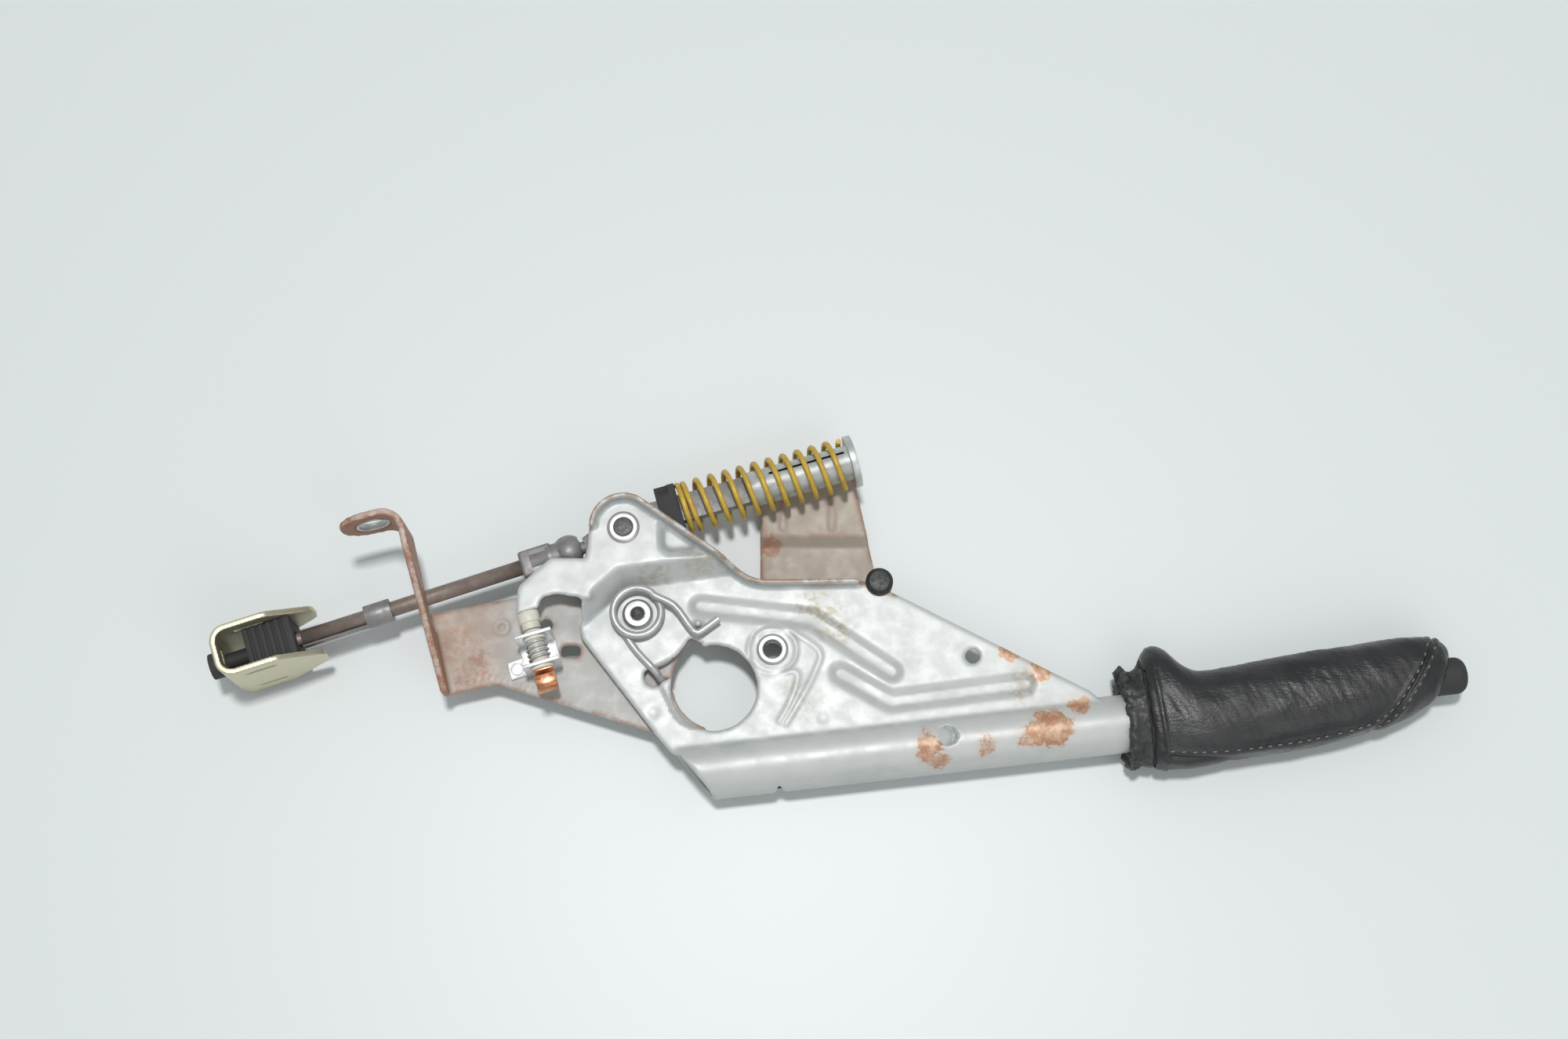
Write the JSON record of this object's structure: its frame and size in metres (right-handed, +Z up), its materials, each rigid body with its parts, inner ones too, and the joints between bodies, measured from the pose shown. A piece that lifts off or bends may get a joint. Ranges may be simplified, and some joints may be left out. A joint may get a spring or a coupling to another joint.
{
  "type": "parking brake lever",
  "caption": "Hand lever on a bent sheet bracket, with a leather grip, release button, ratchet, warning switch and a sprung pull rod to an equalizer.",
  "frame": {"origin": "middle of the footprint, on the table that the lever lies on", "axes": "+X along the lever towards the grip's button, +Z up from the table, +Y towards the side of the tension spring"},
  "size_m": [0.4758, 0.1398, 0.051],
  "materials": {
    "primed_steel": "worn brown primer on pressed steel, red rust at the edges",
    "bare_steel": "bare steel, slightly tarnished",
    "dark_steel": "dark phosphated steel",
    "spring_steel": "drawn spring wire",
    "bright_zinc": "bright zinc plate",
    "nylon": "milky nylon",
    "copper": "bare copper strip",
    "galvanised": "dull white galvanised sheet with dirt and small rust marks",
    "rubber": "aged black rubber",
    "black_plastic": "moulded black plastic",
    "leather": "grained black leather with stitched seams",
    "yellow_paint": "yellow paint worn brown",
    "rusty_steel": "brown oxidised steel",
    "yellow_zinc": "yellowish zinc plate"
  },
  "bodies": {
    "bracket": {"mounting_bracket": "primed_steel", "ear_bush": "bare_steel", "ratchet_sector": "dark_steel", "sector_rivets": "bare_steel", "pivot_rivet": "bare_steel", "pivot_spacer": "bare_steel", "return_spring": "spring_steel", "switch_bracket": "bright_zinc", "switch_rivet": "bright_zinc", "switch_body": "nylon", "switch_spring": "spring_steel", "contact_strap": "copper"},
    "plunger": {"switch_plunger": "nylon"},
    "lever": {"lever_plate": "galvanised", "bump_stop": "rubber", "pawl_rivet": "bare_steel", "clevis_pin": "dark_steel", "pin_retainer": "bare_steel", "rod_guide": "black_plastic", "grip_core": "black_plastic", "grip_leather": "leather", "gaiter_collar": "rubber", "button_spring": "spring_steel"},
    "button": {"push_rod": "bare_steel", "release_button": "black_plastic"},
    "pawl": {"pawl": "dark_steel"},
    "adjuster": {"adjuster_bar": "dark_steel", "ball_stud": "dark_steel", "spring_collar": "black_plastic", "tension_spring": "yellow_paint"},
    "sleeve": {"tension_sleeve": "galvanised"},
    "rod": {"rod_socket": "dark_steel", "pull_rod": "rusty_steel", "rod_clip": "dark_steel"},
    "equalizer": {"equalizer_yoke": "yellow_zinc", "cable_insert": "black_plastic", "equalizer_pin": "bare_steel", "cable_plug": "black_plastic"}
  },
  "joints": [
    {"name": "lever_pull", "type": "hinge", "parent": "bracket", "child": "lever", "pos_m": [-0.07597, -0.00082, 0.02], "axis": [0, 0, -1], "range_deg": [0, 40], "stiffness_Nm_per_rad": 0.6, "springref_deg": -8.59, "deforming": ["return_spring"]},
    {"name": "button_press", "type": "slide", "parent": "lever", "child": "button", "axis": [-0.9936, -0.1132, 0], "range_m": [0, 0.004], "stiffness_N_per_m": 800, "springref_m": -0.003, "deforming": ["button_spring"]},
    {"name": "pawl_release", "type": "hinge", "parent": "lever", "child": "pawl", "pos_m": [-0.02497, -0.01432, 0.0175], "axis": [0, 0, -1], "range_deg": [0, 6.5]},
    {"name": "adjuster_swing", "type": "hinge", "parent": "lever", "child": "adjuster", "pos_m": [-0.08147, 0.03118, 0.021], "axis": [0, 0, -1], "range_deg": [-35, 0]},
    {"name": "tension_slide", "type": "slide", "parent": "adjuster", "child": "sleeve", "axis": [-0.9603, -0.279, 0], "range_m": [0, 0.01], "stiffness_N_per_m": 2000, "springref_m": -0.004, "deforming": ["tension_spring"]},
    {"name": "rod_swing", "type": "hinge", "parent": "adjuster", "child": "rod", "pos_m": [-0.10257, 0.02368, 0.021], "axis": [0, 0, 1], "range_deg": [-3, 3]},
    {"name": "equalizer_tilt", "type": "hinge", "parent": "rod", "child": "equalizer", "pos_m": [-0.20878, -0.01186, 0.021], "axis": [-0.3173, 0.9483, 0], "range_deg": [-10, 10]},
    {"name": "plunger_travel", "type": "slide", "parent": "bracket", "child": "plunger", "axis": [-0.289, 0.9573, 0], "range_m": [0, 0.0031]}
  ],
  "couplings": [
    {"joint": "pawl_release", "follows": "button_press", "rad_per_m": 26.5},
    {"joint": "adjuster_swing", "follows": "lever_pull", "ratio": -0.865},
    {"joint": "plunger_travel", "follows": "lever_pull", "m_per_rad": 0.0043}
  ]
}
